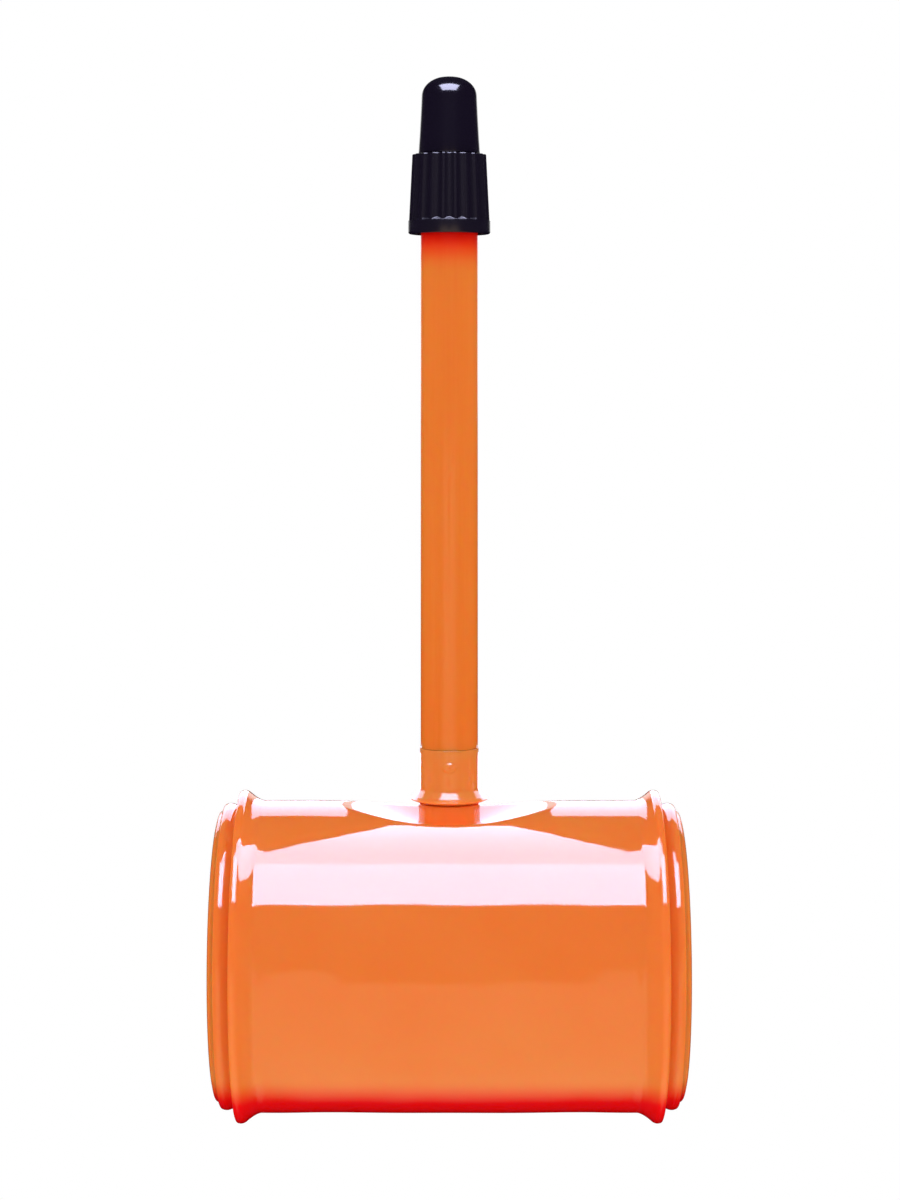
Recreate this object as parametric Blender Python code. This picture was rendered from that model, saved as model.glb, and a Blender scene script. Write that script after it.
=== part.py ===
"""Hand dust blower for watch work: a soft hollow drum lying on its side, a rigid blow tube
standing on it, and a screw collar that holds the nozzle on the tube.

The drum's axis runs along X, the tube stands along +Z, and the drum's two lips touch z = 0.
Lengths are in millimetres up to the mesh builder, which turns them into metres.
"""

import math

import bmesh
import bpy
from mathutils import Matrix, Vector

MM = 0.001
GAP = 0.3                     # clearance kept between pieces that touch

# Drum, measured along X from its middle and outward from its axis
DRUM_RADIUS = 21.5
DRUM_WALL = 1.3
DRUM_STEPS = 56               # facets round the drum and its rings
LIP_RADIUS = 22.95
LIP_HALF_WIDTH = 29.05
LIP_START = 26.2              # where the wall begins to flare into the lip
LIP_EDGE = 0.8                # thickness of the lip at its rim
AXIS_HEIGHT = LIP_RADIUS      # the lips stand on z = 0

# Dish round the neck, heights above the drum's axis
BOSS_RADIUS = 4.28
BOSS_TOP = 21.4
DISH_FLOOR = 18.25
DISH_SLOPE = 0.31             # rise per millimetre away from the boss
DISH_STEPS = 40
NECK_HOLE_RADIUS = 3.1

# Stepped end rings and the flexible end walls
RING_BORE = 18.4
RING_INNER_END = 23.5
RING_SEAT = 31.5
RING_BEAD_RADIUS = 21.35
WALL_FACE = 32.25             # outermost flat of the end wall
WALL_RADIUS = 20.85
WALL_THICKNESS = 0.9
PAD_RADIUS = 12.6
PAD_FACE = 30.3
PAD_THICKNESS = 1.7

# Neck socket, heights above the drum's axis
FLANGE_RADIUS = 5.34
FLANGE_BASE = BOSS_TOP + GAP
FLANGE_EDGE = 0.3
NECK_RADIUS = 4.11
NECK_TOP = 29.15
SPIGOT_RADIUS = 2.6
AIRWAY_RADIUS = 1.6
SHANK_RADIUS = NECK_HOLE_RADIUS - GAP
SHANK_END = 12.5
PIP_HEIGHT = 26.75            # moulding pip on the front of the neck
PIP_SIZE = (1.05, 0.75)       # half width and half height of the pip
PIP_PROUD = 0.2

# Seal and nut inside the drum
SEAL_RADIUS = 6.0
SEAL_TOP = 16.6
SEAL_THICKNESS = 0.7
NUT_RADIUS = 6.4
NUT_HEIGHT = 2.4

# Blow tube
TUBE_RADIUS = 4.0
TUBE_BORE = 2.8
TUBE_TOP = 103.3

# Threaded bush in the tube's end
BUSH_SPIGOT_END = 99.0
BUSH_BASE = TUBE_TOP + GAP
BUSH_TOP = 108.4
BUSH_ROOT = 4.0
THREAD_DEPTH = 0.45
THREAD_PITCH = 1.5
THREAD_LOW = 103.9
THREAD_HIGH = 108.1
THREAD_ROWS_PER_TURN = 8
THREAD_STEPS = 24             # facets round every threaded face
THREAD_CREST_HALF = 0.12      # half the width of a tooth at its crest
THREAD_BASE_HALF = 0.38       # half the width of a tooth at its root
THREAD_CLEARANCE = 0.2

TIP_SEAL_OUTER = 3.8
TIP_SEAL_INNER = 1.9
TIP_SEAL_THICKNESS = 0.6

# Screw collar
COLLAR_BASE = 101.0
COLLAR_TOP = 112.1
COLLAR_BAND_TOP = 102.9
COLLAR_BASE_RADIUS = 5.76
COLLAR_TOP_RADIUS = 5.2
COLLAR_ROOF = 1.4             # thickness of the collar's top wall
COLLAR_EYE = 3.6              # hole in the top wall, round the nozzle's stem
FLUTE_COUNT = 20
FLUTE_DEPTH = 0.32
FLUTE_RUNOUT = 0.5            # length over which a flute fades into the band
FLUTE_STEPS = 4               # facets across one flute and its land
COLLAR_EDGE = 0.25            # bevel at the collar's two rims

# Nozzle
STEM_RADIUS = COLLAR_EYE - GAP
BEAD_RADIUS = 4.0             # wider than the collar's eye, so the collar stays on
BEAD_BASE = BUSH_TOP + 2 * GAP + TIP_SEAL_THICKNESS
BEAD_TOP = COLLAR_TOP - COLLAR_ROOF - GAP
NOZZLE_BASE = COLLAR_TOP + GAP
NOZZLE_TOP = 123.07
NOZZLE_BASE_RADIUS = 4.42
NOZZLE_SHOULDER = 121.0
NOZZLE_SHOULDER_RADIUS = 3.8
NOZZLE_FLAT_RADIUS = 1.9      # flat ring round the air hole
ORIFICE_RADIUS = 0.75
NOZZLE_STEPS = 28

ORANGE = (0.855, 0.168, 0.022)
PALE_ORANGE = (0.88, 0.21, 0.035)
BLACK = (0.010, 0.008, 0.016)
SEAL_GREY = (0.12, 0.12, 0.13)
WHITE_NYLON = (0.72, 0.70, 0.66)


def clear_scene():
    for item in list(bpy.data.objects):
        bpy.data.objects.remove(item, do_unlink=True)


def make_material(name, colour, roughness, metallic=0.0):
    material = bpy.data.materials.new(name)
    material.use_nodes = True
    shader = material.node_tree.nodes["Principled BSDF"]
    shader.inputs["Base Color"].default_value = (*colour, 1.0)
    shader.inputs["Roughness"].default_value = roughness
    shader.inputs["Metallic"].default_value = metallic
    material.diffuse_color = (*colour, 1.0)
    return material


def quarter_oval(centre, rise, reach, steps):
    """Points (along, outward) of a quarter oval, from its outermost point up to its highest."""
    turns = [math.pi / 2 * i / steps for i in range(steps + 1)]
    return [(centre[0] + rise * math.sin(a), centre[1] + reach * math.cos(a)) for a in turns]


def spin_outline(outline, steps):
    """Turn an (along, outward) outline round Z; an outline that ends on the axis stays open there."""
    bm = bmesh.new()
    verts = [bm.verts.new((out * MM, 0.0, along * MM)) for along, out in outline]
    pairs = list(zip(verts, verts[1:]))
    solid = outline[0][1] == 0.0 and outline[-1][1] == 0.0
    if not solid:
        pairs.append((verts[-1], verts[0]))
    edges = [bm.edges.new(pair) for pair in pairs]
    bmesh.ops.spin(bm, geom=verts + edges, cent=(0, 0, 0), axis=(0, 0, 1),
                   angle=math.tau, steps=steps, use_merge=True)
    bmesh.ops.remove_doubles(bm, verts=bm.verts, dist=1e-7)
    bmesh.ops.recalc_face_normals(bm, faces=bm.faces)
    return bm


def lay_along_x(bm, side=1):
    """Swing a piece turned round Z so that its axis lies along +X, or along -X for side -1."""
    turn = Matrix.Rotation(math.radians(90 * side), 4, "Y")
    bmesh.ops.transform(bm, matrix=turn, verts=bm.verts)
    return bm


def add_piece(name, bm, height, material, parent=None, sharp_angle=35):
    """Store the mesh as a named object whose origin is on the axis, at a height over the drum axis."""
    mesh = bpy.data.meshes.new(name)
    bm.to_mesh(mesh)
    bm.free()
    mesh.shade_smooth()
    mesh.set_sharp_from_angle(angle=math.radians(sharp_angle))
    piece = bpy.data.objects.new(name, mesh)
    bpy.context.scene.collection.objects.link(piece)
    if material is not None:
        mesh.materials.append(material)
    place = Vector((0.0, 0.0, (AXIS_HEIGHT + height) * MM))
    mesh.transform(Matrix.Translation((0.0, 0.0, -height * MM)))
    if parent is not None:
        piece.parent = parent
        place = place - parent.matrix_world.translation
    piece.location = place
    bpy.context.view_layer.update()
    return piece


def add_cutter(name, bm, height=0.0):
    cutter = add_piece(name, bm, height, None)
    cutter.hide_render = True
    cutter.display_type = "WIRE"
    return cutter


def boolean(piece, other, operation="DIFFERENCE"):
    modifier = piece.modifiers.new(other.name, "BOOLEAN")
    modifier.operation = operation
    modifier.solver = "EXACT"
    modifier.object = other


def mirrored(half):
    """A whole (along, outward) outline from its positive half, given from the middle outward."""
    return [(-along, out) for along, out in reversed(half)] + half


def dish_outline(drop, boss_height):
    """Turned cutter over the neck: its underside is the dish, lowered by drop, with the boss left."""
    reach = DRUM_RADIUS + 4.0
    rim = DISH_FLOOR + DISH_SLOPE * (reach - BOSS_RADIUS)
    top = rim + 6.0
    return [(boss_height, 0.0), (boss_height, BOSS_RADIUS), (DISH_FLOOR - drop, BOSS_RADIUS),
            (rim - drop, reach), (top, reach), (top, 0.0)]


def build_drum(material):
    lip_flare = [(LIP_START, DRUM_RADIUS), (27.3, DRUM_RADIUS + 0.22), (28.2, DRUM_RADIUS + 0.68),
                 (LIP_HALF_WIDTH - 0.25, LIP_RADIUS), (LIP_HALF_WIDTH, LIP_RADIUS - 0.2)]
    outer = mirrored(lip_flare)
    outer = [(outer[0][0], 0.0)] + outer + [(outer[-1][0], 0.0)]
    drum = add_piece("drum_barrel", lay_along_x(spin_outline(outer, DRUM_STEPS)), 0.0, material)

    bore = DRUM_RADIUS - DRUM_WALL
    mouth = LIP_RADIUS - LIP_EDGE - 0.2
    bore_half = [(LIP_START + 0.5, bore), (28.0, bore + 0.6), (LIP_HALF_WIDTH, mouth),
                 (LIP_HALF_WIDTH + 1.0, mouth + 0.4)]
    hollow = mirrored(bore_half)
    hollow = [(hollow[0][0], 0.0)] + hollow + [(hollow[-1][0], 0.0)]
    cavity = add_cutter("drum_hollow", lay_along_x(spin_outline(hollow, DRUM_STEPS)))

    roof = dish_outline(DRUM_WALL, DISH_FLOOR - DRUM_WALL)
    boolean(cavity, add_cutter("hollow_roof", spin_outline(roof, DISH_STEPS)))
    dish = dish_outline(0.0, BOSS_TOP)
    boolean(drum, add_cutter("neck_dish", spin_outline(dish, DISH_STEPS)))
    boolean(drum, cavity)
    hole = [(SHANK_END, 0.0), (SHANK_END, NECK_HOLE_RADIUS), (BOSS_TOP + 3.0, NECK_HOLE_RADIUS),
            (BOSS_TOP + 3.0, 0.0)]
    boolean(drum, add_cutter("neck_hole", spin_outline(hole, 24)))
    return drum


def build_end(side_name, side, soft, pad_material):
    """One end of the drum: the stepped ring, the flexible wall and the pad pressed by the thumb."""
    spigot = DRUM_RADIUS - DRUM_WALL - GAP
    ring = [(RING_INNER_END, RING_BORE), (RING_INNER_END, spigot), (LIP_START + 0.3, spigot),
            (LIP_HALF_WIDTH - 0.1, 20.8), (29.9, 21.05), (30.6, RING_BEAD_RADIUS),
            (RING_SEAT - 0.3, RING_BEAD_RADIUS - 0.08), (RING_SEAT, RING_BEAD_RADIUS - 0.4),
            (RING_SEAT, RING_BORE)]
    add_piece(side_name + "_end_ring", lay_along_x(spin_outline(ring, DRUM_STEPS), side), 0.0, soft)

    rim_back = RING_SEAT + GAP
    wall_bore = PAD_RADIUS + GAP
    wall = [(rim_back, 18.2), (rim_back, WALL_RADIUS - 0.25), (WALL_FACE - 0.2, WALL_RADIUS),
            (WALL_FACE, WALL_RADIUS - 0.25), (WALL_FACE, 18.5), (31.4, 16.5), (30.7, 14.5),
            (PAD_FACE, wall_bore), (PAD_FACE - WALL_THICKNESS, wall_bore),
            (30.7 - WALL_THICKNESS, 14.2), (31.4 - WALL_THICKNESS, 16.1)]
    add_piece(side_name + "_end_wall", lay_along_x(spin_outline(wall, DRUM_STEPS), side), 0.0, soft)

    pad = [(PAD_FACE - PAD_THICKNESS, 0.0), (PAD_FACE - PAD_THICKNESS, PAD_RADIUS),
           (PAD_FACE, PAD_RADIUS), (PAD_FACE, 10.6), (PAD_FACE - 0.4, 9.0), (PAD_FACE - 0.7, 5.0),
           (PAD_FACE - 0.8, 0.0)]
    add_piece(side_name + "_press_pad", lay_along_x(spin_outline(pad, 40), side), 0.0, pad_material)


def build_neck(socket_material, seal_material, nut_material):
    socket = [(SHANK_END, AIRWAY_RADIUS), (SHANK_END, SHANK_RADIUS), (FLANGE_BASE, SHANK_RADIUS),
              (FLANGE_BASE, FLANGE_RADIUS - 0.1), (FLANGE_BASE + 0.1, FLANGE_RADIUS),
              (FLANGE_BASE + FLANGE_EDGE, FLANGE_RADIUS - 0.1), (FLANGE_BASE + 0.55, NECK_RADIUS + 0.25),
              (FLANGE_BASE + 0.8, NECK_RADIUS), (NECK_TOP - 0.15, NECK_RADIUS),
              (NECK_TOP, NECK_RADIUS - 0.15), (NECK_TOP, SPIGOT_RADIUS), (36.6, SPIGOT_RADIUS),
              (37.2, SPIGOT_RADIUS - 0.4), (37.2, AIRWAY_RADIUS)]
    neck = add_piece("neck_socket", spin_outline(socket, 28), 0.0, socket_material)
    pip = bmesh.new()
    bmesh.ops.create_cone(pip, cap_ends=True, segments=12, radius1=1.0, radius2=0.8, depth=1.0)
    depth = PIP_PROUD + 1.0
    size = Matrix.Diagonal((PIP_SIZE[0] * MM, PIP_SIZE[1] * MM, depth * MM, 1.0))
    spot = Matrix.Translation((0.0, -(NECK_RADIUS + PIP_PROUD - depth / 2) * MM, PIP_HEIGHT * MM))
    bmesh.ops.transform(pip, matrix=spot @ Matrix.Rotation(math.pi / 2, 4, "X") @ size, verts=pip.verts)
    boolean(neck, add_cutter("neck_pip", pip), "UNION")

    seal_low = SEAL_TOP - SEAL_THICKNESS
    seal = [(seal_low, NECK_HOLE_RADIUS), (seal_low, SEAL_RADIUS), (SEAL_TOP, SEAL_RADIUS),
            (SEAL_TOP, NECK_HOLE_RADIUS)]
    add_piece("neck_seal", spin_outline(seal, 24), 0.0, seal_material)

    nut_top = seal_low - GAP
    nut_low = nut_top - NUT_HEIGHT
    nut = [(nut_low, NECK_HOLE_RADIUS), (nut_low, NUT_RADIUS), (nut_top, NUT_RADIUS),
           (nut_top, NECK_HOLE_RADIUS)]
    add_piece("neck_nut", spin_outline(nut, 12), 0.0, nut_material, sharp_angle=20)


def build_tube(material):
    low = NECK_TOP + GAP
    tube = [(low, TUBE_BORE), (low, TUBE_RADIUS), (TUBE_TOP, TUBE_RADIUS), (TUBE_TOP, TUBE_BORE)]
    add_piece("blow_tube", spin_outline(tube, 28), 0.0, material)


def tooth_height(height, angle, phase):
    """Height, 0 to 1, of a right-hand thread's tooth at a place on the threaded face."""
    turns = (height - THREAD_LOW) / THREAD_PITCH - angle / math.tau + phase
    offset = abs(turns % 1.0 - 0.5) * THREAD_PITCH
    rise = (THREAD_BASE_HALF - offset) / (THREAD_BASE_HALF - THREAD_CREST_HALF)
    fade = min(height - THREAD_LOW, THREAD_HIGH - height) / 0.4
    return max(0.0, min(1.0, rise)) * max(0.0, min(1.0, fade))


def cut_thread(bm, radius, depth, phase):
    """Raise the thread's teeth on the face of the given radius; a negative depth points inward."""
    for vert in bm.verts:
        height = vert.co.z / MM
        out = vert.co.xy.length / MM
        if abs(out - radius) < 0.01 and THREAD_LOW < height < THREAD_HIGH:
            angle = math.atan2(vert.co.y, vert.co.x)
            vert.co.xy *= (out + depth * tooth_height(height, angle, phase)) / out


def thread_rows(radius):
    count = round((THREAD_HIGH - THREAD_LOW) / THREAD_PITCH * THREAD_ROWS_PER_TURN)
    step = (THREAD_HIGH - THREAD_LOW) / count
    return [(THREAD_LOW + step * i, radius) for i in range(count + 1)]


def build_tip(bush_material, seal_material):
    bush = [(BUSH_SPIGOT_END, AIRWAY_RADIUS), (BUSH_SPIGOT_END, SPIGOT_RADIUS),
            (BUSH_BASE, SPIGOT_RADIUS), (BUSH_BASE, BUSH_ROOT)]
    bush += thread_rows(BUSH_ROOT) + [(BUSH_TOP, BUSH_ROOT), (BUSH_TOP, AIRWAY_RADIUS)]
    bm = spin_outline(bush, THREAD_STEPS)
    cut_thread(bm, BUSH_ROOT, THREAD_DEPTH, 0.0)
    add_piece("tip_bush", bm, 0.0, bush_material)

    low = BUSH_TOP + GAP
    high = low + TIP_SEAL_THICKNESS
    seal = [(low, TIP_SEAL_INNER), (low, TIP_SEAL_OUTER), (high, TIP_SEAL_OUTER), (high, TIP_SEAL_INNER)]
    add_piece("tip_seal", spin_outline(seal, 20), 0.0, seal_material)


def build_nozzle(material):
    shoulder = quarter_oval((NOZZLE_SHOULDER, NOZZLE_FLAT_RADIUS), NOZZLE_TOP - NOZZLE_SHOULDER,
                            NOZZLE_SHOULDER_RADIUS - NOZZLE_FLAT_RADIUS, 5)
    outline = [(BEAD_BASE, AIRWAY_RADIUS), (BEAD_BASE, BEAD_RADIUS), (BEAD_TOP, BEAD_RADIUS),
               (BEAD_TOP, STEM_RADIUS), (NOZZLE_BASE, STEM_RADIUS), (NOZZLE_BASE, NOZZLE_BASE_RADIUS),
               (114.4, 4.35), (117.2, 4.21), (119.6, 4.0)]
    outline += shoulder
    outline += [(NOZZLE_TOP, ORIFICE_RADIUS), (121.5, ORIFICE_RADIUS), (119.5, AIRWAY_RADIUS)]
    bm = spin_outline(outline, NOZZLE_STEPS)
    return add_piece("nozzle", bm, NOZZLE_BASE, material)


def collar_radius(height):
    share = (height - COLLAR_BASE) / (COLLAR_TOP - COLLAR_BASE)
    return COLLAR_BASE_RADIUS + (COLLAR_TOP_RADIUS - COLLAR_BASE_RADIUS) * share


def cut_flutes(bm):
    """Press the scalloped flutes into the collar's side; a flute faces the front."""
    for vert in bm.verts:
        height = vert.co.z / MM
        out = vert.co.xy.length / MM
        if height < COLLAR_BAND_TOP or out < COLLAR_EYE:
            continue
        angle = math.atan2(vert.co.y, vert.co.x)
        wave = abs(math.cos((angle + math.pi / 2) * FLUTE_COUNT / 2))
        fade = min(1.0, (height - COLLAR_BAND_TOP) / FLUTE_RUNOUT)
        vert.co.xy *= 1.0 - FLUTE_DEPTH * wave * fade / out


def build_collar(material, nozzle):
    steps = FLUTE_COUNT * FLUTE_STEPS
    heights = [COLLAR_BASE + COLLAR_EDGE, COLLAR_BAND_TOP, COLLAR_BAND_TOP + FLUTE_RUNOUT,
               COLLAR_TOP - COLLAR_EDGE]
    side = [(height, collar_radius(height)) for height in heights]
    outer = [(COLLAR_BASE, 0.0), (COLLAR_BASE, COLLAR_BASE_RADIUS - COLLAR_EDGE)] + side
    outer += [(COLLAR_TOP, COLLAR_TOP_RADIUS - COLLAR_EDGE), (COLLAR_TOP, 0.0)]
    bm = spin_outline(outer, steps)
    cut_flutes(bm)
    collar = add_piece("collar_nut", bm, COLLAR_BASE, material, nozzle)

    root = BUSH_ROOT + THREAD_DEPTH + THREAD_CLEARANCE
    roof = COLLAR_TOP - COLLAR_ROOF
    inside = [(COLLAR_BASE - 1.0, 0.0), (COLLAR_BASE - 1.0, root)]
    inside += thread_rows(root) + [(roof, root), (roof, COLLAR_EYE), (COLLAR_TOP + 1.0, COLLAR_EYE),
                                   (COLLAR_TOP + 1.0, 0.0)]
    bm = spin_outline(inside, THREAD_STEPS)
    cut_thread(bm, root, -THREAD_DEPTH, 0.5)
    boolean(collar, add_cutter("collar_inside", bm))


def main():
    clear_scene()
    soft_orange = make_material("soft_pvc_orange", ORANGE, 0.12)
    pad_orange = make_material("soft_pvc_orange_pad", ORANGE, 0.2)
    clear_orange = make_material("clear_orange_tube", PALE_ORANGE, 0.15)
    neck_orange = make_material("moulded_orange_neck", ORANGE, 0.18)
    black = make_material("black_collar_plastic", BLACK, 0.25)
    black_tip = make_material("black_nozzle_plastic", BLACK, 0.2)
    nylon = make_material("white_nylon", WHITE_NYLON, 0.4)
    rubber = make_material("grey_seal_rubber", SEAL_GREY, 0.6)

    build_drum(soft_orange)
    build_end("right", 1, soft_orange, pad_orange)
    build_end("left", -1, soft_orange, pad_orange)
    build_neck(neck_orange, rubber, nylon)
    build_tube(clear_orange)
    build_tip(black, rubber)
    build_collar(black, build_nozzle(black_tip))


main()
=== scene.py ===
import math

import bmesh
import bpy
import numpy as np
from mathutils import Matrix, Vector


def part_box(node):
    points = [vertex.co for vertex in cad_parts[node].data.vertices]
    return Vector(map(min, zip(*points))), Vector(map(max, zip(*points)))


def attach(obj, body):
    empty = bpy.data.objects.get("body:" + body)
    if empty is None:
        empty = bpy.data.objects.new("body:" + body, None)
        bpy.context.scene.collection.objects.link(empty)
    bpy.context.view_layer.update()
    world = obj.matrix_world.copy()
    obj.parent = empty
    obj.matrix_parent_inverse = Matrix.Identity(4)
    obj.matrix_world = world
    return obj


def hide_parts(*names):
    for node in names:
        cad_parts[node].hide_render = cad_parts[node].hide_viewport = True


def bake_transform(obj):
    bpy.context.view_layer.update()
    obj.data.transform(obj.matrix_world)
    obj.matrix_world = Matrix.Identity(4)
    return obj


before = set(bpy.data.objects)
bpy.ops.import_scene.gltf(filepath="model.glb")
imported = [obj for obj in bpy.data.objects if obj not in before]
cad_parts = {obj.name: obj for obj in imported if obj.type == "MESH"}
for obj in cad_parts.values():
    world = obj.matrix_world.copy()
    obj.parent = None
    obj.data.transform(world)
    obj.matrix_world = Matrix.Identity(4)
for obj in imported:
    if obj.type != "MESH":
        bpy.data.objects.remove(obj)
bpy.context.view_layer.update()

mm = 0.001  # outlines below are in millimetres, meshes in metres

# The CAD boxes give the drum's axis, the radius of its lips and the collar's foot above the axis.
barrelLow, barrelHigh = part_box("drum_barrel")
axisHeight = (barrelLow.z + barrelHigh.z) / 2 / mm
lipRadius = (barrelHigh.z - barrelLow.z) / 2 / mm
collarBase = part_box("collar_nut")[0].z / mm - axisHeight
print("frame loaded, drum axis at", round(axisHeight, 2), "mm")


def toLinear(hexColour):
    parts = [int(hexColour[i:i + 2], 16) / 255 for i in (1, 3, 5)]
    linear = [p / 12.92 if p <= 0.04045 else ((p + 0.055) / 1.055) ** 2.4 for p in parts]
    return (*linear, 1.0)


def addNode(tree, kind, inputs=None, **settings):
    node = tree.nodes.new(kind)
    for name, value in settings.items():
        setattr(node, name, value)
    for name, value in (inputs or {}).items():  # a socket is linked, anything else is a fixed value
        if isinstance(value, bpy.types.NodeSocket):
            tree.links.new(value, node.inputs[name])
        else:
            node.inputs[name].default_value = value
    return node


def startMaterial(name):
    material = bpy.data.materials.new(name)
    material.use_nodes = True
    tree = material.node_tree
    tree.nodes.clear()
    return material, tree


def endMaterial(tree, shader):
    addNode(tree, "ShaderNodeOutputMaterial", {"Surface": shader.outputs[0]})


def roundCorners(points, steps=5):
    # each point is (along, out) or (along, out, radius); a radius turns the corner into an arc
    done = []
    count = len(points)
    for i, point in enumerate(points):
        here = Vector(point[:2])
        radius = point[2] if len(point) > 2 else 0.0
        toLast = Vector(points[i - 1][:2]) - here
        toNext = Vector(points[(i + 1) % count][:2]) - here
        if radius == 0.0 or toLast.length < 1e-9 or toNext.length < 1e-9:
            done.append(tuple(here))
            continue
        half = toLast.angle(toNext) / 2
        cut = min(radius / math.tan(half), toLast.length * 0.48, toNext.length * 0.48)
        radius = cut * math.tan(half)
        middle = here + (toLast.normalized() + toNext.normalized()).normalized() * radius / math.sin(half)
        first = here + toLast.normalized() * cut - middle
        sweep = first.angle_signed(here + toNext.normalized() * cut - middle)
        for k in range(steps + 1):
            turn = -sweep * k / steps
            arm = Vector((first.x * math.cos(turn) - first.y * math.sin(turn),
                          first.x * math.sin(turn) + first.y * math.cos(turn)))
            done.append(tuple(middle + arm))
    return done


def turnedGrid(outline, turns, shape=None):
    # closed outline of (along, out) turned round Z; shape may move each point, given (along, out, angle)
    angles = [math.tau * j / turns for j in range(turns)]
    bm = bmesh.new()
    rings = []
    for along, out in outline:
        ring = []
        if out < 1e-6:
            ring = [bm.verts.new((0.0, 0.0, along * mm))] * turns
        else:
            for angle in angles:
                reach = shape(along, out, angle) if shape else out
                place = (reach * math.cos(angle) * mm, reach * math.sin(angle) * mm, along * mm)
                ring.append(bm.verts.new(place))
        rings.append(ring)
    pairs = list(zip(rings, rings[1:]))
    if rings[0][0] is not rings[0][1]:
        pairs.append((rings[-1], rings[0]))
    for low, high in pairs:
        for j in range(turns):
            corners = [low[j], low[(j + 1) % turns], high[(j + 1) % turns], high[j]]
            unique = list(dict.fromkeys(corners))
            if len(unique) > 2:
                bm.faces.new(unique)
    bmesh.ops.recalc_face_normals(bm, faces=bm.faces)
    return bm


def layAlongX(bm, side):
    bmesh.ops.transform(bm, matrix=Matrix.Rotation(side * math.pi / 2, 4, "Y"), verts=bm.verts)
    return bm


def placePiece(name, bm, material, sharpAngle=40):
    # meshes are made round the drum's axis and stand axisHeight above the floor
    bmesh.ops.translate(bm, vec=(0, 0, axisHeight * mm), verts=bm.verts)
    mesh = bpy.data.meshes.new(name)
    bm.to_mesh(mesh)
    bm.free()
    mesh.shade_smooth()
    mesh.set_sharp_from_angle(angle=math.radians(sharpAngle))
    mesh.materials.append(material)
    piece = bpy.data.objects.new(name, mesh)
    bpy.context.scene.collection.objects.link(piece)
    return piece


def combine(piece, other, operation):
    modifier = piece.modifiers.new(operation.lower(), "BOOLEAN")
    modifier.operation = operation
    modifier.solver = "EXACT"
    modifier.object = other
    graph = bpy.context.evaluated_depsgraph_get()
    made = bpy.data.meshes.new_from_object(piece.evaluated_get(graph))
    piece.modifiers.clear()
    piece.data = made
    bpy.data.objects.remove(other)


# Soft PVC, dip-moulded and glossy: a waxy orange with faint clouds, sharp reflections, and a deep red painted
# shade on the underside.
softPvc = {"colour": "#FD883F", "cloudColour": "#FB8239", "paintedShadeColour": "#FF1218", "paintedShadeStart": 5.1,
           "paintedShadeEnd": 9.7, "roughness": 0.06, "ior": 1.53, "scatterLength": 1.4,
           "scatterSpread": (1.0, 0.16, 0.05), "cloudSize": 18.0, "cloudFrom": 0.3, "cloudTo": 0.7,
           "skinSize": 0.9, "skinHeight": 0.004, "skinStrength": 0.12}


def makeSoftPvc():
    material, tree = startMaterial("Glossy soft PVC orange")
    spot = addNode(tree, "ShaderNodeTexCoord")
    cloud = addNode(tree, "ShaderNodeTexNoise", {
        "Vector": spot.outputs["Object"], "Scale": 1 / (softPvc["cloudSize"] * mm), "Detail": 2.0})
    tint = addNode(tree, "ShaderNodeValToRGB", {"Fac": cloud.outputs["Fac"]})
    tint.color_ramp.elements[0].position = softPvc["cloudFrom"]
    tint.color_ramp.elements[0].color = toLinear(softPvc["cloudColour"])
    tint.color_ramp.elements[1].position = softPvc["cloudTo"]
    tint.color_ramp.elements[1].color = toLinear(softPvc["colour"])
    # painted shade: the underside is painted deep red by height, standing in for light that reaches it only
    # through the wall, which lets no more than red through
    place = addNode(tree, "ShaderNodeSeparateXYZ", {"Vector": spot.outputs["Object"]})
    height = addNode(tree, "ShaderNodeMapRange", {
        "Value": place.outputs["Z"], "From Min": softPvc["paintedShadeStart"] * mm,
        "From Max": softPvc["paintedShadeEnd"] * mm}, interpolation_type="SMOOTHSTEP")
    paintedShadeMix = addNode(tree, "ShaderNodeMix", {
        "Factor": height.outputs["Result"], 6: toLinear(softPvc["paintedShadeColour"]), 7: tint.outputs["Color"]},
        data_type="RGBA")
    skin = addNode(tree, "ShaderNodeTexNoise", {
        "Vector": spot.outputs["Object"], "Scale": 1 / (softPvc["skinSize"] * mm), "Detail": 3.0})
    bump = addNode(tree, "ShaderNodeBump", {
        "Height": skin.outputs["Fac"], "Strength": softPvc["skinStrength"],
        "Distance": softPvc["skinHeight"] * mm})
    shader = addNode(tree, "ShaderNodeBsdfPrincipled", {
        "Base Color": paintedShadeMix.outputs[2], "Normal": bump.outputs["Normal"],
        "Roughness": softPvc["roughness"], "IOR": softPvc["ior"],
        "Subsurface Weight": 1.0, "Subsurface Radius": softPvc["scatterSpread"],
        "Subsurface Scale": softPvc["scatterLength"] * mm})
    endMaterial(tree, shader)
    return material


# Translucent orange tube and its moulded socket: a duller gloss than the drum, with faint lines along it, and
# a deep red painted shade just under the collar.
tubeStock = {"colour": "#EF8736", "lineColour": "#EC7F2F", "socketColour": "#EC9147",
             "socketLineColour": "#EA8B40", "paintedShadeColour": "#FA1508", "paintedShadeReach": 5.6, "roughness": 0.14,
             "ior": 1.49, "scatterLength": 1.3, "scatterSpread": (1.0, 0.2, 0.06), "lineSize": 0.35,
             "lineStretch": 0.02, "lineHeight": 0.01, "lineStrength": 0.3}


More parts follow.
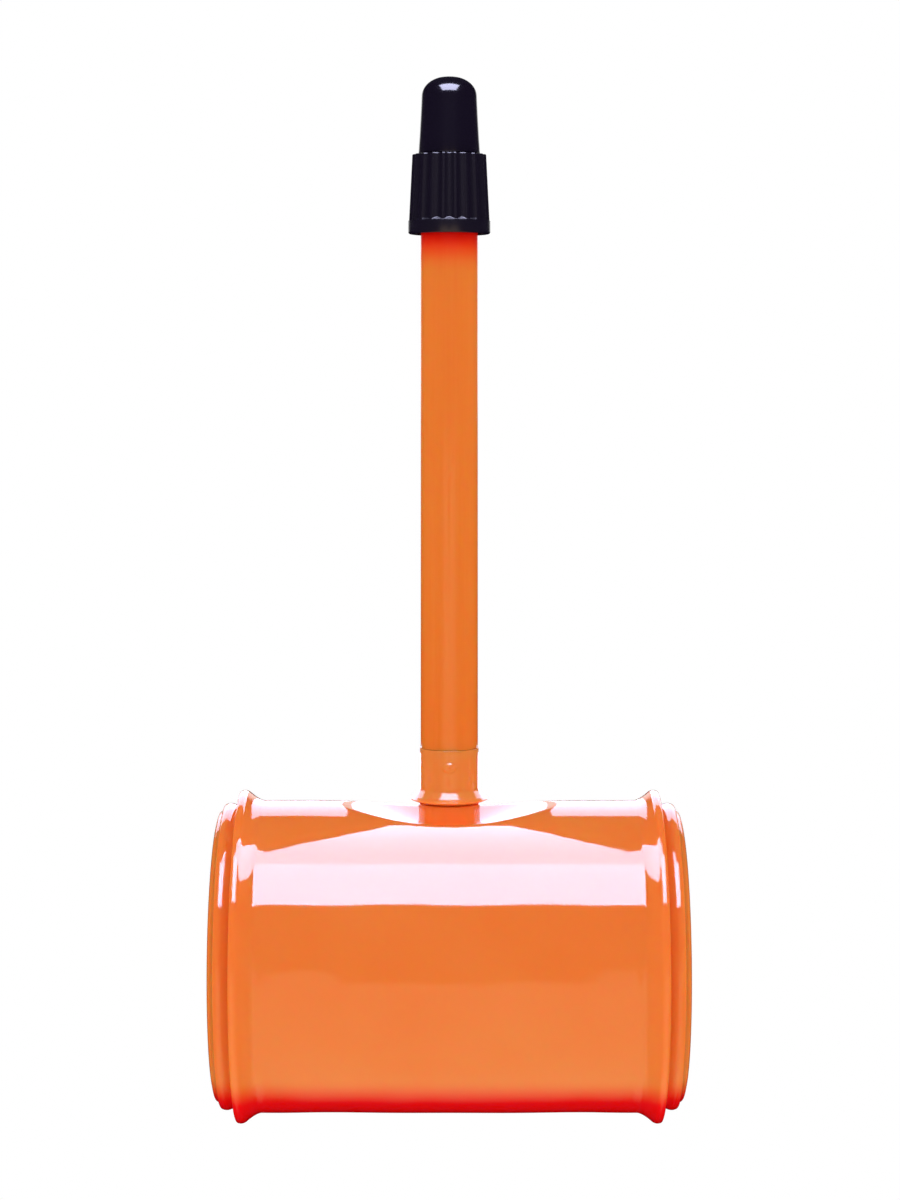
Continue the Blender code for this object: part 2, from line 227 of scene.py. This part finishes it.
def makeTubeStock(name, colour, lineColour):
    material, tree = startMaterial(name)
    spot = addNode(tree, "ShaderNodeTexCoord")
    stretch = addNode(tree, "ShaderNodeMapping", {
        "Vector": spot.outputs["Object"], "Scale": (1, 1, tubeStock["lineStretch"])})
    lines = addNode(tree, "ShaderNodeTexNoise", {
        "Vector": stretch.outputs["Vector"], "Scale": 1 / (tubeStock["lineSize"] * mm), "Detail": 2.0})
    bump = addNode(tree, "ShaderNodeBump", {
        "Height": lines.outputs["Fac"], "Strength": tubeStock["lineStrength"],
        "Distance": tubeStock["lineHeight"] * mm})
    tint = addNode(tree, "ShaderNodeValToRGB", {"Fac": lines.outputs["Fac"]})
    tint.color_ramp.elements[0].color = toLinear(lineColour)
    tint.color_ramp.elements[1].color = toLinear(colour)
    # painted shade: just under the collar the tube is painted deep red, standing in for the black bush inside
    # soaking up the light so that only deep red comes back
    place = addNode(tree, "ShaderNodeSeparateXYZ", {"Vector": spot.outputs["Object"]})
    under = (axisHeight + collarBase) * mm
    height = addNode(tree, "ShaderNodeMapRange", {
        "Value": place.outputs["Z"], "From Min": under - tubeStock["paintedShadeReach"] * mm, "From Max": under},
        interpolation_type="SMOOTHSTEP")
    paintedShadeMix = addNode(tree, "ShaderNodeMix", {
        "Factor": height.outputs["Result"], 6: tint.outputs["Color"], 7: toLinear(tubeStock["paintedShadeColour"])},
        data_type="RGBA")
    shader = addNode(tree, "ShaderNodeBsdfPrincipled", {
        "Base Color": paintedShadeMix.outputs[2], "Normal": bump.outputs["Normal"],
        "Roughness": tubeStock["roughness"], "IOR": tubeStock["ior"],
        "Subsurface Weight": 1.0, "Subsurface Radius": tubeStock["scatterSpread"],
        "Subsurface Scale": tubeStock["scatterLength"] * mm})
    endMaterial(tree, shader)
    return material


# Moulded black ABS: a deep gloss with the faint grain of a spark-eroded mould, brighter on the nozzle.
blackAbs = {"colour": "#150F20", "collarRoughness": 0.22, "nozzleRoughness": 0.14, "smoother": 0.04,
            "rougher": 0.06, "ior": 1.54, "grainSize": 0.12, "grainHeight": 0.004, "grainStrength": 0.25}


def makeBlackAbs(name, roughness):
    material, tree = startMaterial(name)
    spot = addNode(tree, "ShaderNodeTexCoord")
    grain = addNode(tree, "ShaderNodeTexNoise", {
        "Vector": spot.outputs["Object"], "Scale": 1 / (blackAbs["grainSize"] * mm), "Detail": 3.0})
    bump = addNode(tree, "ShaderNodeBump", {
        "Height": grain.outputs["Fac"], "Strength": blackAbs["grainStrength"],
        "Distance": blackAbs["grainHeight"] * mm})
    shine = addNode(tree, "ShaderNodeMapRange", {
        "Value": grain.outputs["Fac"], "To Min": roughness - blackAbs["smoother"],
        "To Max": roughness + blackAbs["rougher"]})
    shader = addNode(tree, "ShaderNodeBsdfPrincipled", {
        "Base Color": toLinear(blackAbs["colour"]), "Normal": bump.outputs["Normal"],
        "Roughness": shine.outputs["Result"], "IOR": blackAbs["ior"]})
    endMaterial(tree, shader)
    return material


# Pieces that hardly show: nitrile rubber, dark and dusty, and nylon, pale with a satin shine.
hiddenFinish = {"rubber": ("Matt nitrile rubber", "#2A2A2D", 0.65, 1.52),
                "nylon": ("Satin moulded nylon", "#DCD8CF", 0.4, 1.53),
                "grainSize": 0.3, "grainHeight": 0.01, "grainStrength": 0.3}


def makeHiddenFinish(kind):
    name, colour, roughness, ior = hiddenFinish[kind]
    material, tree = startMaterial(name)
    spot = addNode(tree, "ShaderNodeTexCoord")
    grain = addNode(tree, "ShaderNodeTexNoise", {
        "Vector": spot.outputs["Object"], "Scale": 1 / (hiddenFinish["grainSize"] * mm), "Detail": 3.0})
    bump = addNode(tree, "ShaderNodeBump", {
        "Height": grain.outputs["Fac"], "Strength": hiddenFinish["grainStrength"],
        "Distance": hiddenFinish["grainHeight"] * mm})
    shader = addNode(tree, "ShaderNodeBsdfPrincipled", {
        "Base Color": toLinear(colour), "Normal": bump.outputs["Normal"],
        "Roughness": roughness, "IOR": ior})
    endMaterial(tree, shader)
    return material


softPvcSkin = makeSoftPvc()
tubeSkin = makeTubeStock("Extruded translucent orange tube", tubeStock["colour"], tubeStock["lineColour"])
neckSkin = makeTubeStock("Moulded translucent orange socket", tubeStock["socketColour"],
                         tubeStock["socketLineColour"])
collarSkin = makeBlackAbs("Moulded black ABS collar", blackAbs["collarRoughness"])
nozzleSkin = makeBlackAbs("Polished black ABS nozzle", blackAbs["nozzleRoughness"])
rubberSkin = makeHiddenFinish("rubber")
nylonSkin = makeHiddenFinish("nylon")
print("materials made")


drum = {"radius": 21.5, "wall": 1.3, "flareStart": 26.0, "flarePower": 1.54, "lipCrest": 28.8,
        "crestRound": 1.1, "crestSlope": 41.0, "tipTurn": 20.0, "tipSweep": 150.0, "edgeRound": 0.25,
        "mouthPower": 1.5, "fineStep": 0.3, "fineEnd": 16.5, "fineTurn": 32.0, "fineTurnStep": 0.75,
        "restTurns": 150, "bossRadius": 4.28, "bossTop": 21.4, "dishFloor": 18.25, "dishSlope": 0.31,
        "foldSoftness": 0.42, "holeRadius": 3.1, "formTurns": 96, "sag": 0.05, "sagFade": 6.0}


def drumRows():
    # (x, radius, depth under the outer skin) from the middle out over the lip and back inside
    crest, crestRound, edge = drum["lipCrest"], drum["crestRound"], drum["edgeRound"]
    step, fineEnd = drum["fineStep"], drum["fineEnd"]
    slope, tipTurn = math.radians(drum["crestSlope"]), math.radians(drum["tipTurn"])
    flareEnd = crest - crestRound * math.sin(slope)
    flareTop = lipRadius - crestRound * (1 - math.cos(slope))
    rows = [(x, drum["radius"], 0.0) for x in np.arange(step / 2, fineEnd, step)]
    rows += [(x, drum["radius"], 0.0) for x in np.linspace(fineEnd + 0.8, drum["flareStart"], 8)]
    for k in range(1, 11):  # the flare
        share = k / 10
        rows.append((drum["flareStart"] + (flareEnd - drum["flareStart"]) * share,
                     drum["radius"] + (flareTop - drum["radius"]) * share ** drum["flarePower"], 0.0))
    for k in range(1, 9):  # the crest of the lip
        turn = slope - (slope + tipTurn) * k / 8
        rows.append((crest - crestRound * math.sin(turn), lipRadius - crestRound * (1 - math.cos(turn)), 0.0))
    lastX, lastR = rows[-1][:2]
    for k in range(1, 9):  # its tip
        turn = tipTurn + math.radians(drum["tipSweep"]) * k / 8
        rows.append((lastX + edge * (math.sin(turn) - math.sin(tipTurn)),
                     lastR + edge * (math.cos(turn) - math.cos(tipTurn)), 0.0))
    bore = drum["radius"] - drum["wall"]
    mouthX, mouthR = rows[-1][:2]
    for k in range(1, 8):  # the mouth inside it
        share = 1 - k / 8
        rows.append((drum["flareStart"] + (mouthX - drum["flareStart"]) * share,
                     bore + (mouthR - bore) * share ** drum["mouthPower"], 0.0))
    rows += [(x, bore, drum["wall"]) for x in np.linspace(drum["flareStart"], 17.0, 6)]
    rows += [(x, bore, drum["wall"]) for x in np.arange(16.0, 0.4, -1.0)]
    return rows


def drumAngles():
    # closely spaced over the dish at the top, wider apart round the rest
    edge = drum["fineTurn"]
    fine = np.radians(np.arange(-edge, edge + 0.01, drum["fineTurnStep"]))
    rest = np.radians(np.linspace(edge, 360.0 - edge, drum["restTurns"])[1:-1])
    return list(fine) + list(rest)


def softMinimum(a, b, softness):
    near = max(softness - abs(a - b), 0.0) / softness
    return min(a, b) - near * near * softness / 4


def pressDish(x, y, z, depth):
    # the skin folds down towards the neck in a shallow cone
    away = max(math.hypot(x, y), drum["bossRadius"])
    floor = drum["dishFloor"] - depth + drum["dishSlope"] * (away - drum["bossRadius"])
    return softMinimum(z, floor, drum["foldSoftness"]) if z > 0 else z


def wallSag(x, angle):
    # soft wall: a slow unevenness of a few hundredths of a millimetre
    return drum["sag"] * (math.sin(x * 0.21 + 1.3) * math.sin(2 * angle + 0.6)
                          + 0.6 * math.sin(x * 0.34 - angle * 3.0 + 2.1))


def makeDrum():
    half = drumRows()
    rows = half + [(-x, out, depth) for x, out, depth in reversed(half)]
    angles = drumAngles()
    bm = bmesh.new()
    rings = []
    for x, out, depth in rows:
        ring = []
        for angle in angles:
            free = min(1.0, max(0.0, (drum["flareStart"] - abs(x)) / drum["sagFade"]))
            reach = out + wallSag(x, angle) * free
            y, z = reach * math.sin(angle), reach * math.cos(angle)
            ring.append(bm.verts.new((x * mm, y * mm, pressDish(x, y, z, depth) * mm)))
        rings.append(ring)
    for low, high in zip(rings, rings[1:] + rings[:1]):
        for j in range(len(angles)):
            k = (j + 1) % len(angles)
            bm.faces.new((low[j], low[k], high[k], high[j]))
    bmesh.ops.recalc_face_normals(bm, faces=bm.faces)
    shell = placePiece("drumShell", bm, softPvcSkin)

    top, wide = drum["bossTop"], drum["bossRadius"]
    boss = [(17.7, 3.0), (17.7, wide + 1.0), (18.42, wide + 1.0), (18.46, wide + 0.55),
            (18.6, wide + 0.25), (18.85, wide + 0.07), (19.2, wide), (top - 0.2, wide),
            (top - 0.06, wide - 0.06), (top, wide - 0.2), (top, 3.0)]
    combine(shell, placePiece("bossForm", turnedGrid(boss, drum["formTurns"]), softPvcSkin), "UNION")
    hole = [(12.0, 0.0), (12.0, drum["holeRadius"]), (top + 2, drum["holeRadius"]), (top + 2, 0.0)]
    combine(shell, placePiece("holeForm", turnedGrid(hole, drum["formTurns"]), softPvcSkin), "DIFFERENCE")
    shell.data.shade_smooth()
    shell.data.set_sharp_from_angle(angle=math.radians(50))
    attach(shell, "drum")
    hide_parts("drum_barrel")


makeDrum()
print("drum shell made")


drumEnd = {"ringBore": 18.4, "ringInner": 23.5, "plugRadius": 19.9, "seat": 31.55, "beadRadius": 21.2,
           "face": 32.4, "rimRadius": 20.2, "rimBack": 31.5, "wallOuter": 31.4, "wallInner": 30.7,
           "thickness": 0.9, "padRadius": 12.6, "padFace": 30.3, "padThickness": 1.7, "padGap": 0.08,
           "turns": 200}


def turnedEnd(name, outline, side):
    return placePiece(name, layAlongX(turnedGrid(outline, drumEnd["turns"]), side), softPvcSkin)


def makeEnd(sideName, side):
    # a stepped ring plugged into the barrel, a thin wall on it, and the pad in the wall's middle
    seat, bore = drumEnd["seat"], drumEnd["ringBore"]
    bead, plug = drumEnd["beadRadius"], drumEnd["plugRadius"]
    ring = roundCorners([
        (drumEnd["ringInner"], bore, 0.3), (drumEnd["ringInner"], plug, 0.4), (28.6, plug, 0.5),
        (29.35, 20.7, 0.5), (30.75, bead, 3.0), (seat, bead - 0.25, 0.4), (seat + 0.1, 20.0, 0.1),
        (seat + 0.1, bore, 0.3)], 8)
    endRing = turnedEnd(sideName + "EndRing", ring, side)
    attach(endRing, "drum")
    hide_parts(sideName + "_end_ring")

    face, thick, rim = drumEnd["face"], drumEnd["thickness"], drumEnd["rimRadius"]
    rimBack, outer, inner = drumEnd["rimBack"], drumEnd["wallOuter"], drumEnd["wallInner"]
    padFace, padRadius = drumEnd["padFace"], drumEnd["padRadius"]
    hole = padRadius + drumEnd["padGap"]
    wall = roundCorners([
        (rimBack, 18.2, 0.1), (rimBack, rim, 0.1), (face - 0.2, rim - 0.25, 0.45), (face, 19.1, 0.3),
        (face, 18.2, 0.8), (outer, 16.3, 1.5), (inner, 14.5, 1.5), (padFace, hole, 0.1),
        (padFace - thick, hole, 0.1), (inner - thick, 14.2, 1.0), (outer - thick, 16.1, 1.0)], 6)
    endWall = turnedEnd(sideName + "EndWall", wall, side)
    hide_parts(sideName + "_end_wall")
    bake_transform(endWall)

    padBack = padFace - drumEnd["padThickness"]
    pad = [(padBack, 0.0)]
    pad += roundCorners([
        (padBack, 0.0), (padBack, padRadius, 0.3), (padFace, padRadius, 0.35), (padFace, 10.8, 0.8),
        (padFace - 0.55, 8.6, 2.0), (padFace - 0.8, 0.0)], 6)[1:-1]
    pad += [(padFace - 0.78, 3.0), (padFace - 0.8, 0.0)]
    padPiece = turnedEnd(sideName + "PressPad", pad, side)
    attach(padPiece, sideName + "_pad")
    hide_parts(sideName + "_press_pad")


makeEnd("right", 1)
makeEnd("left", -1)
print("drum ends made")


neck = {"flangeBase": 21.7, "flangeRadius": 5.34, "radius": 4.11, "top": 29.15, "spigot": 2.6,
        "spigotTop": 37.2, "airway": 1.6, "shank": 2.8, "shankEnd": 12.5, "pipHeight": 26.75,
        "pipHalfWidth": 1.05, "pipHalfHeight": 0.75, "pipProud": 0.16, "pipEdge": 0.3,
        "dimpleReach": 0.55, "dimpleDepth": 0.8, "turns": 256}


def neckShape(along, out, angle):
    # the moulding pip: a low oval with a dimple, on the front of the neck
    across = (angle - 1.5 * math.pi) * neck["radius"] / neck["pipHalfWidth"]
    off = math.hypot(across, (along - neck["pipHeight"]) / neck["pipHalfHeight"])
    if out < neck["radius"] - 0.01 or off > 1.0:
        return out
    shoulder = min(1.0, (1.0 - off) / neck["pipEdge"])
    dimple = max(0.0, 1.0 - off / neck["dimpleReach"])
    swell = shoulder * shoulder * (3 - 2 * shoulder) - neck["dimpleDepth"] * dimple * dimple
    return out + neck["pipProud"] * swell


def makeNeck():
    base, flange, wide, top = neck["flangeBase"], neck["flangeRadius"], neck["radius"], neck["top"]
    spigotTop = neck["spigotTop"]
    pipRows = [(z, wide) for z in np.arange(neck["pipHeight"] - 0.9, neck["pipHeight"] + 0.91, 0.1)]
    low = roundCorners([
        (neck["shankEnd"], neck["airway"], 0.1), (neck["shankEnd"], neck["shank"], 0.3),
        (base, neck["shank"]), (base, flange - 0.7, 0.1), (base + 0.27, flange, 0.06),
        (base + 0.4, flange, 0.06), (base + 0.75, flange - 0.62, 0.7), (base + 1.7, wide, 0.7),
        (pipRows[0][0] - 0.2, wide)], 8)[:-1]
    high = roundCorners([
        (pipRows[-1][0] + 0.2, wide), (top, wide, 0.05), (top, neck["spigot"]),
        (spigotTop, neck["spigot"], 0.4), (spigotTop, neck["airway"], 0.1)], 5)[1:]
    body = placePiece("neckSocket", turnedGrid(low + pipRows + high, neck["turns"], neckShape), neckSkin)
    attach(body, "drum")
    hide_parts("neck_socket")


makeNeck()
print("neck made")


tube = {"radius": 4.0, "bore": 2.8, "low": 29.2, "top": 103.3, "turns": 160}


def makeTube():
    outline = roundCorners([
        (tube["low"], tube["bore"], 0.1), (tube["low"], tube["radius"], 0.05),
        (tube["top"], tube["radius"], 0.15), (tube["top"], tube["bore"], 0.1)], 4)
    pipe = placePiece("blowTube", turnedGrid(outline, tube["turns"]), tubeSkin)
    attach(pipe, "drum")
    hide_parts("blow_tube")


makeTube()
print("blow tube made")


collar = {"base": 101.0, "top": 112.1, "bandTop": 102.85, "baseRadius": 5.76, "topRadius": 5.2,
          "roof": 1.4, "eye": 3.6, "inside": 4.65, "seam": 3.6, "flutes": 20, "fluteFrom": 4.8,
          "fluteDepth": 0.32, "landShare": 0.2, "runOut": 0.3, "fineStep": 0.04, "turns": 480}


def collarShape(along, out, angle):
    # scalloped flutes with narrow lands between them, running out in round ends above the plain band
    if out < collar["fluteFrom"] or along < collar["bandTop"]:
        return out
    phase = ((angle - 1.5 * math.pi) * collar["flutes"] / math.tau + 0.5) % 1.0 - 0.5
    side = min(1.0, abs(phase) / (0.5 - collar["landShare"] / 2))
    ramp = max(0.0, along - collar["bandTop"]) / collar["runOut"]
    return out - collar["fluteDepth"] * min(1.0 - side * side, ramp)


def makeCollar():
    base, top = collar["base"], collar["top"]
    slope = (collar["topRadius"] - collar["baseRadius"]) / (top - base)
    wide, seam, step = collar["baseRadius"], base + collar["seam"], collar["fineStep"]
    low = roundCorners([
        (seam, collar["inside"]), (base, collar["inside"], 0.15), (base, wide - 0.02, 0.3),
        (collar["bandTop"], wide - 0.02, 0.08), (collar["bandTop"], wide - 0.1)], 5)[:-1]
    heights = list(np.arange(collar["bandTop"] + step, collar["bandTop"] + 0.6, step))
    heights += list(np.linspace(heights[-1] + 0.4, top - 0.35, 8))
    side = [(z, wide + slope * (z - base)) for z in heights]
    high = roundCorners([
        side[-1], (top, collar["topRadius"], 0.3), (top, collar["eye"], 0.12),
        (top - collar["roof"], collar["eye"], 0.1), (top - collar["roof"], collar["inside"], 0.1),
        (seam, collar["inside"])], 5)[1:-1]
    bm = turnedGrid(low + side + high, collar["turns"], collarShape)
    body = placePiece("collarNut", bm, collarSkin, 35)
    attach(body, "collar")
    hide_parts("collar_nut")


makeCollar()
print("collar made")


nozzle = {"bead": 4.0, "beadBase": 109.6, "beadTop": 110.4, "stem": 3.3, "base": 112.25,
          "baseRadius": 4.3, "top": 122.98, "shoulder": 120.2, "shoulderRadius": 3.86, "domeSweep": 81.0,
          "flat": 0.3, "hole": 0.75, "airway": 1.6, "turns": 160}


def makeNozzle():
    outline = roundCorners([
        (nozzle["beadBase"], nozzle["airway"], 0.1), (nozzle["beadBase"], nozzle["bead"], 0.1),
        (nozzle["beadTop"], nozzle["bead"], 0.1), (nozzle["beadTop"], nozzle["stem"], 0.05),
        (nozzle["base"], nozzle["stem"]),
        (nozzle["base"], nozzle["baseRadius"], 0.12), (114.4, 4.16), (117.2, 4.0), (119.2, 3.9)], 5)
    for k in range(15):  # the dome
        turn = math.radians(nozzle["domeSweep"]) * k / 14
        outline.append((nozzle["shoulder"] + (nozzle["top"] - nozzle["shoulder"]) * math.sin(turn),
                        nozzle["flat"] + (nozzle["shoulderRadius"] - nozzle["flat"]) * math.cos(turn)))
    outline += [(nozzle["top"] - 0.06, nozzle["hole"]), (nozzle["top"] - 0.3, nozzle["hole"] - 0.02),
                (121.5, nozzle["hole"]), (119.5, nozzle["airway"])]
    body = placePiece("nozzleTip", turnedGrid(outline, nozzle["turns"]), nozzleSkin)
    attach(body, "nozzle")
    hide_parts("nozzle")


makeNozzle()
print("nozzle made")


def dressNode(node, material):
    # a piece inside keeps its CAD shape and only takes a finish
    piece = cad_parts[node]
    piece.data.materials.clear()
    piece.data.materials.append(material)


dressNode("neck_seal", rubberSkin)
dressNode("tip_seal", rubberSkin)
dressNode("neck_nut", nylonSkin)
dressNode("tip_bush", collarSkin)


table = {"size": 6000.0, "drop": 0.2, "light": 1.0}


def makeFloor():
    # a lit white table: as bright as the room behind it, so nothing throws a shadow on it
    bpy.ops.mesh.primitive_plane_add(size=table["size"] * mm, location=(0, 0, -table["drop"] * mm))
    floor = bpy.context.object
    floor.name = "studioFloor"
    material, tree = startMaterial("Backlit white acrylic table")
    glow = addNode(tree, "ShaderNodeEmission", {"Color": (1, 1, 1, 1), "Strength": table["light"]})
    endMaterial(tree, glow)
    floor.data.materials.append(material)
    floor.visible_glossy = False


clothColour = "#DADBFF"


def makeCard(name, bm, light):
    # a lit sheet seen only in reflections, and only from behind its faces: the other side is clear
    mesh = bpy.data.meshes.new(name)
    bm.to_mesh(mesh)
    bm.free()
    card = bpy.data.objects.new(name, mesh)
    bpy.context.scene.collection.objects.link(card)
    material, tree = startMaterial("Lit cloth of " + name)
    glow = addNode(tree, "ShaderNodeEmission", {"Color": toLinear(clothColour), "Strength": light})
    clear = addNode(tree, "ShaderNodeBsdfTransparent")
    face = addNode(tree, "ShaderNodeNewGeometry")
    sheet = addNode(tree, "ShaderNodeMixShader", {0: face.outputs["Backfacing"], 1: clear.outputs[0],
                                                  2: glow.outputs[0]})
    endMaterial(tree, sheet)
    mesh.materials.append(material)
    card.visible_camera = False
    card.visible_diffuse = False
    card.visible_transmission = False
    card.visible_shadow = False


softbox = {"distance": 450.0, "halfWidth": 185.0, "nearEdge": 47.3, "farEdge": 84.0, "light": 19.4}


def makeSoftboxCard():
    # a curved softbox in front and overhead, between two angles above the level
    bm = bmesh.new()
    edges = []
    for i in range(25):
        turn = math.radians(softbox["nearEdge"] + (softbox["farEdge"] - softbox["nearEdge"]) * i / 24)
        out = -softbox["distance"] * math.cos(turn)
        high = axisHeight + softbox["distance"] * math.sin(turn)
        edges.append([bm.verts.new((x * mm, out * mm, high * mm))
                      for x in (-softbox["halfWidth"], softbox["halfWidth"])])
    for near, far in zip(edges, edges[1:]):
        bm.faces.new((near[0], near[1], far[1], far[0]))
    makeCard("softboxCard", bm, softbox["light"])


topBoard = {"light": 14.5, "rows": [(-24.0, 98.0, 35.0), (-19.7, 86.5, 31.0), (-12.3, 67.0, 26.5),
                                    (-8.9, 58.0, 21.0), (-6.4, 51.5, 13.9), (-5.2, 48.3, 8.4)]}


def makeTopBoard():
    # a leaning board in front of the tube carries the softbox on, narrowing, to the edge of the dish;
    # its rows are (distance forward or back, height above the floor, half width)
    bm = bmesh.new()
    rows = [[bm.verts.new((x * mm, y * mm, z * mm)) for x in (-half, half)]
            for y, z, half in topBoard["rows"]]
    for near, far in zip(rows, rows[1:]):
        bm.faces.new((near[0], near[1], far[1], far[0]))
    makeCard("topBoard", bm, topBoard["light"])


backBoards = {"high": 60.0, "near": 11.0, "far": 300.0, "gap": 15.0, "halfWidth": 50.0, "light": 5.0}


def makeBackBoards():
    # two boards lie level above the drum's back, one on each side of the tube
    bm = bmesh.new()
    for side in (-1, 1):
        inner, outer = side * backBoards["gap"], side * backBoards["halfWidth"]
        near, far = backBoards["near"], backBoards["far"]
        corners = [(inner, near), (outer, near), (outer, far), (inner, far)][::side]
        bm.faces.new([bm.verts.new((x * mm, y * mm, backBoards["high"] * mm)) for x, y in corners])
    makeCard("backBoards", bm, backBoards["light"])


dishBoard = {"halfWidth": 13.0, "back": 15.0, "low": 43.5, "top": 49.5, "light": 5.0}


def makeDishBoard():
    # a small board stands behind the dish and lights its far side
    bm = bmesh.new()
    half, low, top = dishBoard["halfWidth"], dishBoard["low"], dishBoard["top"]
    corners = [(half, low), (-half, low), (-half, top), (half, top)]
    bm.faces.new([bm.verts.new((x * mm, dishBoard["back"] * mm, z * mm)) for x, z in corners])
    makeCard("dishBoard", bm, dishBoard["light"])


# bands are (degrees up from level in front, light, colour): a dark room, a bright wall behind, a warm table
room = {"light": 1.0, "sideStart": 0.3, "sideEnd": 0.55, "sideLight": 0.03, "hangFrom": 0.035,
        "hangTo": 0.065, "hangDepth": 0.16, "rippleRate": 170.0, "rippleHeight": 0.025,
        "bands": [(-180, 0.5, "#FFFFFF"), (-172, 0.0, "#FFFFFF"), (-116, 0.0, "#FFDCB4"),
                  (-92, 0.9, "#FFDCB4"), (-1, 0.95, "#FFDCB4"), (1, 0.03, "#DADBFF"),
                  (164, 0.03, "#DADBFF"), (170, 1.1, "#FFFFFF"), (180, 1.1, "#FFFFFF")]}


def makeRoom():
    # even white light all round, and the bands for reflections only
    world = bpy.data.worlds.new("studioRoom")
    bpy.context.scene.world = world
    world.use_nodes = True
    tree = world.node_tree
    tree.nodes.clear()
    spot = addNode(tree, "ShaderNodeTexCoord")
    parts = addNode(tree, "ShaderNodeSeparateXYZ", {"Vector": spot.outputs["Generated"]})
    forward = addNode(tree, "ShaderNodeMath", {0: parts.outputs["Y"], 1: -1.0}, operation="MULTIPLY")
    tilt = addNode(tree, "ShaderNodeMath", {
        0: parts.outputs["Z"], 1: forward.outputs[0]}, operation="ARCTAN2")
    aside = addNode(tree, "ShaderNodeMath", {0: parts.outputs["X"]}, operation="ABSOLUTE")
    # the table's far edge hangs lower in the middle
    hang = addNode(tree, "ShaderNodeMapRange", {
        "Value": aside.outputs[0], "From Min": room["hangFrom"], "From Max": room["hangTo"],
        "To Min": room["hangDepth"], "To Max": 0.0}, interpolation_type="SMOOTHSTEP")
    wave = addNode(tree, "ShaderNodeMath", {
        0: parts.outputs["X"], 1: room["rippleRate"]}, operation="MULTIPLY")
    ripple = addNode(tree, "ShaderNodeMath", {0: wave.outputs[0]}, operation="SINE")
    bent = addNode(tree, "ShaderNodeMath", {
        0: ripple.outputs[0], 1: room["rippleHeight"], 2: tilt.outputs[0]}, operation="MULTIPLY_ADD")
    edge = addNode(tree, "ShaderNodeMath", {0: bent.outputs[0], 1: hang.outputs["Result"]}, operation="ADD")
    share = addNode(tree, "ShaderNodeMapRange", {
        "Value": edge.outputs[0], "From Min": -math.pi, "From Max": math.pi})
    seen = addNode(tree, "ShaderNodeValToRGB", {"Fac": share.outputs["Result"]})
    ramp = seen.color_ramp
    while len(ramp.elements) < len(room["bands"]):
        ramp.elements.new(0.5)
    for element, (degrees, light, colour) in zip(ramp.elements, room["bands"]):
        element.position = degrees / 360 + 0.5
        element.color = [part * light for part in toLinear(colour)[:3]] + [1.0]
    # only what lies ahead and behind is lit, so upright pieces mirror dark sides
    middle = addNode(tree, "ShaderNodeMapRange", {
        "Value": aside.outputs[0], "From Min": room["sideStart"], "From Max": room["sideEnd"],
        "To Min": 1.0, "To Max": room["sideLight"]}, interpolation_type="SMOOTHSTEP")
    mirrored = addNode(tree, "ShaderNodeBackground", {
        "Color": seen.outputs["Color"], "Strength": middle.outputs["Result"]})
    even = addNode(tree, "ShaderNodeBackground", {"Color": (1, 1, 1, 1), "Strength": room["light"]})
    path = addNode(tree, "ShaderNodeLightPath")
    through = addNode(tree, "ShaderNodeMath", {
        0: path.outputs["Is Glossy Ray"], 1: path.outputs["Is Transmission Ray"]}, operation="SUBTRACT")
    whole = addNode(tree, "ShaderNodeMixShader", {0: through.outputs[0], 1: even.outputs[0],
                                                  2: mirrored.outputs[0]})
    addNode(tree, "ShaderNodeOutputWorld", {"Surface": whole.outputs[0]})


makeFloor()
makeSoftboxCard()
makeTopBoard()
makeBackBoards()
makeDishBoard()
makeRoom()
print("studio made")


view = {"aside": 0.1, "distance": 393.1, "height": 103.6, "aim": 97.9, "lens": 84.33, "film": 36.0,
        "fall": -0.1495, "clip": 10.0}


def makeCamera():
    # the camera looks nearly level from the tube's height, and the film is dropped to frame the drum below
    data = bpy.data.cameras.new("viewCamera")
    data.sensor_width = view["film"]
    data.lens = view["lens"]
    data.shift_y = view["fall"]
    data.clip_start = view["clip"] * mm
    camera = bpy.data.objects.new("viewCamera", data)
    bpy.context.scene.collection.objects.link(camera)
    camera.location = Vector((view["aside"], -view["distance"], view["height"])) * mm
    down = math.atan((view["height"] - view["aim"]) / view["distance"])
    camera.rotation_euler = (math.pi / 2 - down, 0, 0)
    bpy.context.scene.camera = camera


makeCamera()
bpy.context.scene.view_settings.view_transform = "Standard"
